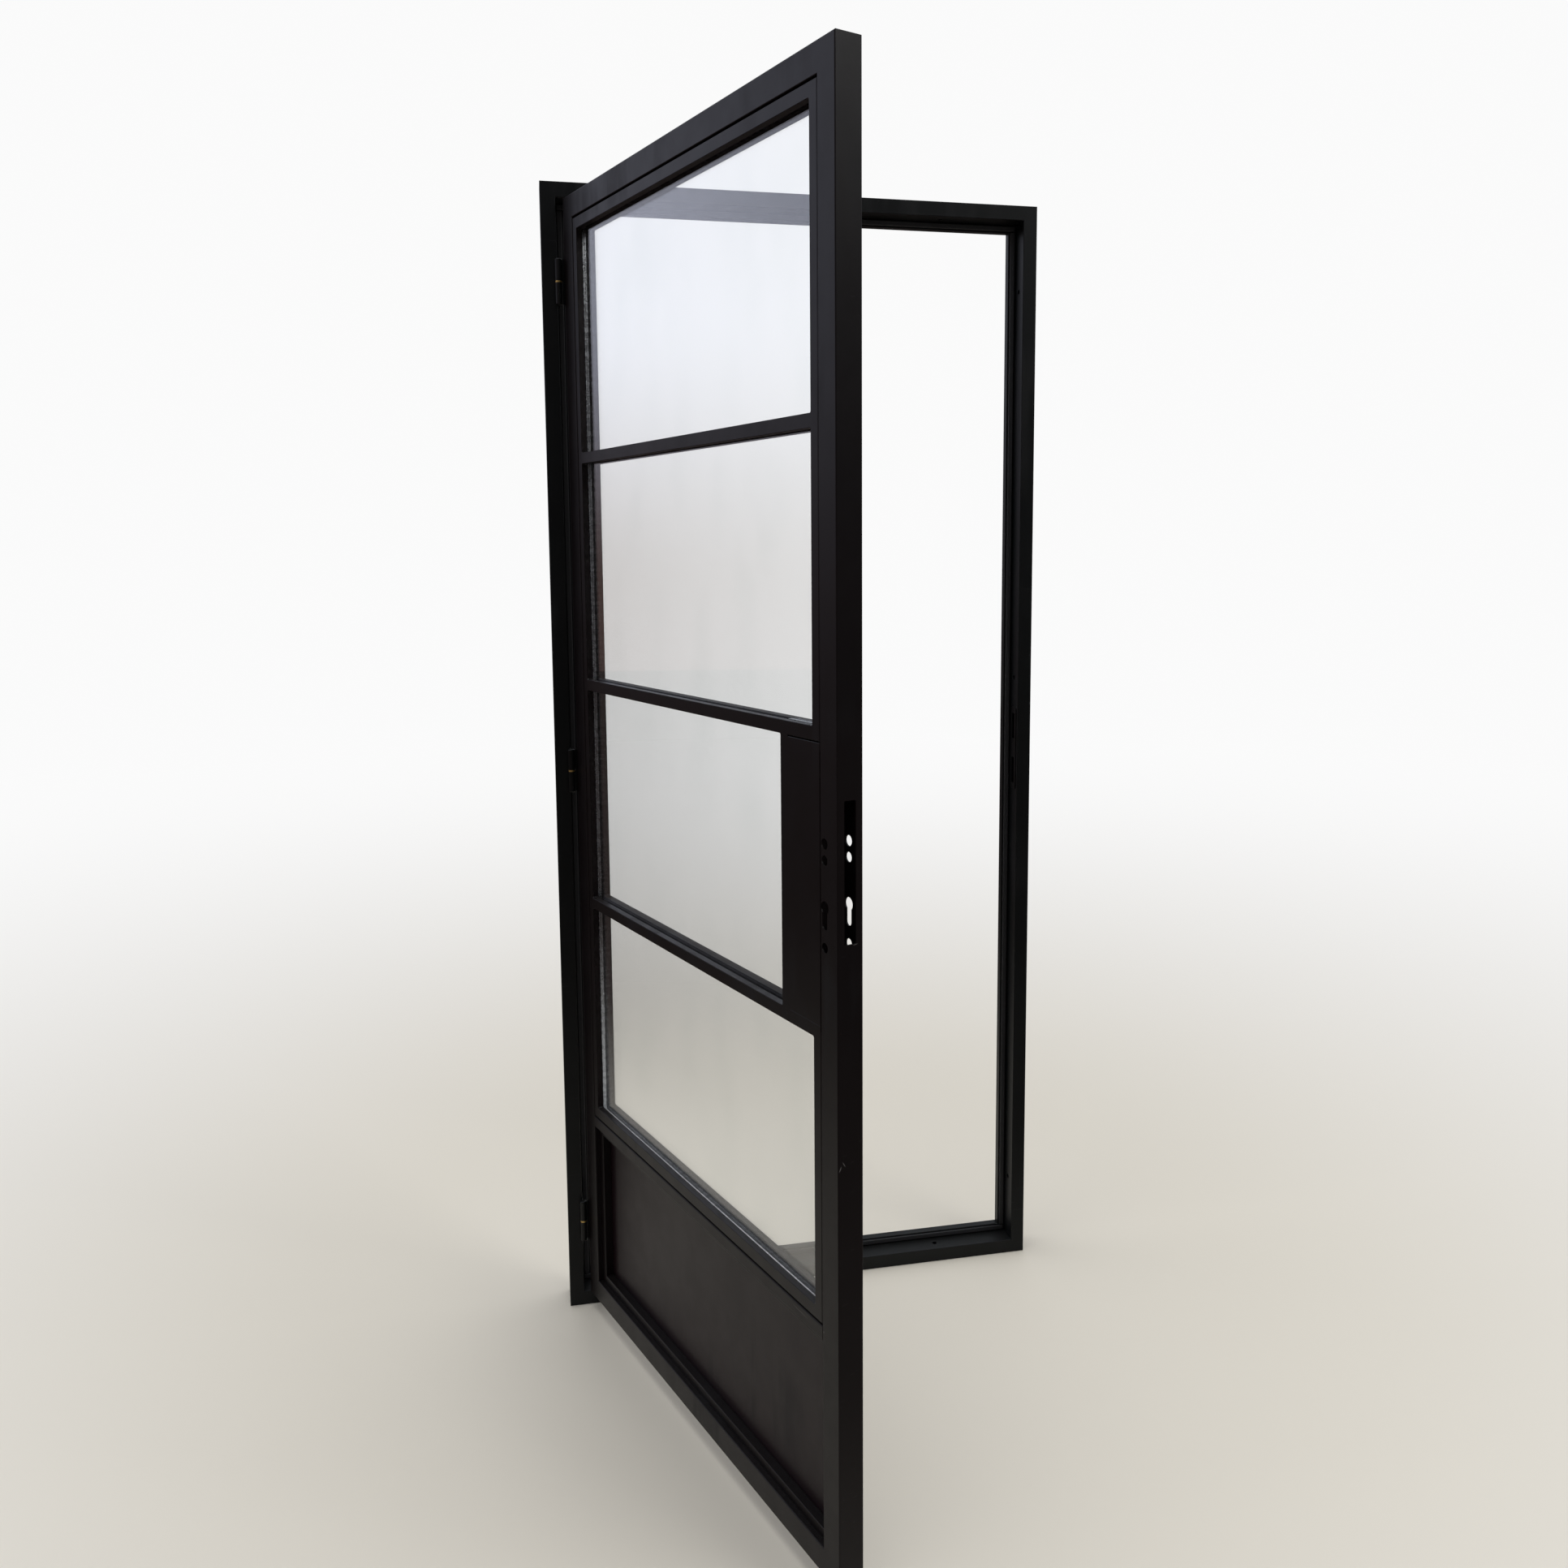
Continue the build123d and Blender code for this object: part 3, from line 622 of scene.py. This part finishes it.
# %% Ledge dust
dust_group, given, result = new_group(
    "ledge_dust", {"Place": "Vector", "Facing": "Vector"}, {"Mask": "Float"})
ledge = fade(dust_group, split(dust_group, given["Facing"])["Z"], start=0.55, end=0.95)
specks = noise(dust_group, given["Place"], waves=700.0, detail=3.0)
specks = fade(dust_group, specks, start=0.40, end=0.75)
feed(dust_group, result["Mask"], sums(dust_group, "MULTIPLY", ledge, specks))
print("groups:", [g.name for g in bpy.data.node_groups])

# %% [markdown]
# ## Coated pieces
# Frame, leaf, glazing frames, kick panel, beads, hinges and strike plate take the same coat
# with small differences: the leaf's black is warmer than the frame's, and the kick panel's
# sheet came out a touch browner. Specular level is low, because a matt powder coat mirrors
# less than a clear varnish, and the constants sit on the shader's own sockets.

# %% Recipe for the coat
DUST, SMEAR, BARE = (0.055, 0.052, 0.047, 1), (0.0075, 0.0072, 0.0080, 1), (0.12, 0.115, 0.11, 1)
SMEAR_SHARE, SCRATCH_SHARE, KNOCK_SHARE, DUST_SHARE = 0.5, 0.06, 0.8, 0.30
SMEAR_DULLS, DUST_DULLS = 0.10, 0.12
COAT_SPECULAR, PEEL_STRENGTH, PEEL_HEIGHT = 0.22, 0.06, 0.0004


def place_group(tree, group, **values):
    """Puts a node group in a material and feeds its inputs."""
    node = tree.nodes.new("ShaderNodeGroup")
    node.node_tree = group
    for socket_name, value in values.items():
        feed(tree, node.inputs[socket_name], value)
    return node.outputs


def leaf_place(tree):
    """Object coordinates turned into leaf coordinates: along, depth, height."""
    node = tree.nodes.new("ShaderNodeMapping")
    node.inputs["Location"].default_value = scene_to_leaf.to_translation()
    node.inputs["Rotation"].default_value = scene_to_leaf.to_euler()
    feed(tree, node.inputs["Vector"], object_place(tree))
    return node.outputs[0]


def lay_on(tree, mask, share, colour, over):
    """Lays a colour over another where a mask says so, at a share of its full strength."""
    return blend(tree, sums(tree, "MULTIPLY", mask, share), colour, over)


def coated(name, tone, lift, gloss, on_leaf):
    """A powder-coated steel finish with smears, scratches and dust, and knocks on the leaf."""
    material, tree, shader = new_material(name)
    shader.inputs["Specular IOR Level"].default_value = COAT_SPECULAR
    place = leaf_place(tree) if on_leaf else object_place(tree)
    skin = place_group(tree, coat_group, Place=place, Tone=tone, Lift=lift, Gloss=gloss)
    smears = place_group(tree, smear_group, Place=place)["Mask"]
    scratches = place_group(tree, scratch_group, Place=place)["Mask"]
    facing = tree.nodes.new("ShaderNodeNewGeometry").outputs["Normal"]
    dust = place_group(tree, dust_group, Place=place, Facing=facing)["Mask"]
    colour = lay_on(tree, smears, SMEAR_SHARE, skin["Color"], SMEAR)
    colour = lay_on(tree, scratches, SCRATCH_SHARE, colour, BARE)
    if on_leaf:
        knocks = place_group(tree, knock_group, Place=place)["Mask"]
        colour = lay_on(tree, knocks, KNOCK_SHARE, colour, BARE)
    colour = lay_on(tree, dust, DUST_SHARE, colour, DUST)
    feed(tree, shader.inputs["Base Color"], colour)
    dull = sums(tree, "MULTIPLY_ADD", smears, SMEAR_DULLS, skin["Roughness"])
    feed(tree, shader.inputs["Roughness"], sums(tree, "MULTIPLY_ADD", dust, DUST_DULLS, dull))
    bumpy(tree, shader, skin["Height"], PEEL_STRENGTH, PEEL_HEIGHT)
    return material


print("shares of smears, scratches, knocks, dust:", SMEAR_SHARE, SCRATCH_SHARE, KNOCK_SHARE, DUST_SHARE)

# %% [markdown]
# Each coat has two tones, between which its cloud wanders, a roughness, and a yes or no that
# says whether it reads leaf coordinates and gets the knock marks. Linear colours this dark
# look near black, so a step of one thousandth already shows.

# %% Coat the steel
COATS = {
    "frame_coat": ((0.0014, 0.0020, 0.0021, 1), (0.0024, 0.0030, 0.0031, 1), 0.42, False),
    "strike_coat": ((0.0018, 0.0022, 0.0022, 1), (0.0028, 0.0032, 0.0032, 1), 0.36, False),
    "leaf_coat": ((0.0036, 0.0020, 0.0022, 1), (0.0048, 0.0029, 0.0031, 1), 0.40, True),
    "glazing_coat": ((0.0036, 0.0020, 0.0021, 1), (0.0048, 0.0029, 0.0030, 1), 0.38, True),
    "kick_coat": ((0.0076, 0.0030, 0.0042, 1), (0.0090, 0.0038, 0.0050, 1), 0.38, True),
    "bead_coat": ((0.0036, 0.0020, 0.0021, 1), (0.0048, 0.0029, 0.0030, 1), 0.38, True),
    "hinge_coat": ((0.0018, 0.0021, 0.0020, 1), (0.0028, 0.0030, 0.0029, 1), 0.32, False),
}
finishes = {name: coated(name, *values) for name, values in COATS.items()}
print("coated finishes:", sorted(finishes))

# %% [markdown]
# ## Glass
# Clear float glass with a trace of green and a faint film of dried wipe marks. Light passes
# through the panes for shadows too: without that, clear glass would throw a shadow as black
# as steel, so the material's alpha drops for shadow rays only.

# %% Glass
CLEAN_GLASS, FILMED_GLASS = (0.988, 0.994, 0.992, 1), (0.965, 0.975, 0.972, 1)
GLASS_IOR, SHADOW_LOSS, FILM_STRETCH = 1.5, 0.92, (1, 1, 0.5)

glass, tree, shader = new_material("clear_glass")
shader.inputs["Transmission Weight"].default_value = 1.0
shader.inputs["Roughness"].default_value = 0.0
shader.inputs["IOR"].default_value = GLASS_IOR
film = noise(tree, leaf_place(tree), waves=9.0, detail=5.0, stretch=FILM_STRETCH)
film = fade(tree, film, start=0.42, end=0.75)
feed(tree, shader.inputs["Base Color"], blend(tree, film, CLEAN_GLASS, FILMED_GLASS))
rays = tree.nodes.new("ShaderNodeLightPath").outputs
feed(tree, shader.inputs["Alpha"], sums(tree, "MULTIPLY_ADD", rays["Is Shadow Ray"], -SHADOW_LOSS, 1.0))
finishes["clear_glass"] = glass
print("glass made, IOR", GLASS_IOR)

# %% [markdown]
# ## Small materials
# Washers, pins, seals, sealant, tape and blocks. They share one recipe: a cloud that shifts
# the colour and the gloss together. The brass washers get fine turned rings besides.

# %% Small materials
CLOUD_WAVES, CLOUD_DETAIL, CLOUD_GLOSS = 120.0, 4.0, 0.06
RING_WAVES, RING_STRENGTH, RING_HEIGHT = 700.0, 0.25, 0.0002


def cloudy(name, colour, metallic, roughness, spread):
    """Adds a finish whose colour and gloss vary together; returns its tree and shader."""
    finishes[name], tree, shader = new_material(name)
    shader.inputs["Metallic"].default_value = metallic
    cloud = noise(tree, object_place(tree), CLOUD_WAVES, CLOUD_DETAIL)
    darker = tuple(c * (1 - spread) for c in colour[:3]) + (1,)
    feed(tree, shader.inputs["Base Color"], blend(tree, cloud, darker, colour))
    smooth, rough = roughness - CLOUD_GLOSS, roughness + CLOUD_GLOSS
    feed(tree, shader.inputs["Roughness"], fade(tree, cloud, start=0.3, end=0.7, low=smooth, high=rough))
    return tree, shader


cloudy("pin_steel", (0.5, 0.5, 0.51, 1), metallic=1.0, roughness=0.3, spread=0.1)
cloudy("seal_rubber", (0.016, 0.016, 0.017, 1), metallic=0.0, roughness=0.58, spread=0.25)
cloudy("unit_sealant", (0.008, 0.008, 0.008, 1), metallic=0.0, roughness=0.6, spread=0.2)
cloudy("tape_foam", (0.006, 0.006, 0.006, 1), metallic=0.0, roughness=0.8, spread=0.2)
cloudy("block_plastic", (0.03, 0.03, 0.03, 1), metallic=0.0, roughness=0.55, spread=0.2)

tree, shader = cloudy("washer_brass", (0.62, 0.43, 0.15, 1), metallic=1.0, roughness=0.36, spread=0.35)
rings = tree.nodes.new("ShaderNodeTexWave")
rings.bands_direction = "Z"
rings.inputs["Scale"].default_value = RING_WAVES
feed(tree, rings.inputs["Vector"], object_place(tree))
bumpy(tree, shader, rings.outputs["Fac"], RING_STRENGTH, RING_HEIGHT)
print("finishes:", len(finishes))

# %% [markdown]
# The spacer's slots get painted shade, read from the mark that was set on their faces when they
# were made. Low down the spacer is painted pale and diffuse: a painted reflection of the bright
# line that its bottom run mirrors, so the metal share drops where the painted reflection lies.

# %% Spacer metal
PAINTED_SLOT_SHADE, PAINTED_REFLECTION = (0.12, 0.12, 0.12, 1), (0.86, 0.88, 0.90, 1)
PAINTED_REFLECTION_TOP, PAINTED_REFLECTION_FULL, PAINTED_REFLECTION_SHARE = 0.80, 0.46, 0.75

tree, shader = cloudy("spacer_metal", (0.52, 0.53, 0.55, 1), metallic=1.0, roughness=0.27, spread=0.10)
metal = shader.inputs["Base Color"].links[0].from_socket
slot_mark = tree.nodes.new("ShaderNodeAttribute")
slot_mark.attribute_name = "recess"
# painted shade: the slot faces get a dark colour that stands in for the shade inside the slots
metal_with_painted_slot_shade = blend(tree, slot_mark.outputs["Fac"], metal, PAINTED_SLOT_SHADE)
height = split(tree, object_place(tree))["Z"]
# painted reflection: below this height the spacer turns pale and less metallic to show a bright line
painted_reflection = fade(tree, height, PAINTED_REFLECTION_TOP, PAINTED_REFLECTION_FULL, low=0.0, high=PAINTED_REFLECTION_SHARE)
feed(tree, shader.inputs["Base Color"], blend(tree, painted_reflection, metal_with_painted_slot_shade, PAINTED_REFLECTION))
feed(tree, shader.inputs["Metallic"], sums(tree, "SUBTRACT", 1.0, painted_reflection))
print("spacer metal shows_painted_reflection below", PAINTED_REFLECTION_TOP, "m")

# %% [markdown]
# ## Dress the pieces
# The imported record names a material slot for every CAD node, so each node gets the finish of
# that name. Only the materials change: the CAD meshes stay as they are.

# %% Dress the pieces
spacer.data.materials.append(finishes["spacer_metal"])
for strip in seam_strips:
    strip.data.materials.append(finishes["glazing_coat"])
slot_of = {entry["node"]: entry["material_slot"] for entry in frame["record"]["subparts"]}
for name, piece in nodes.items():
    piece.data.materials.clear()
    piece.data.materials.append(finishes[slot_of[name]])
print("dressed:", len(nodes))
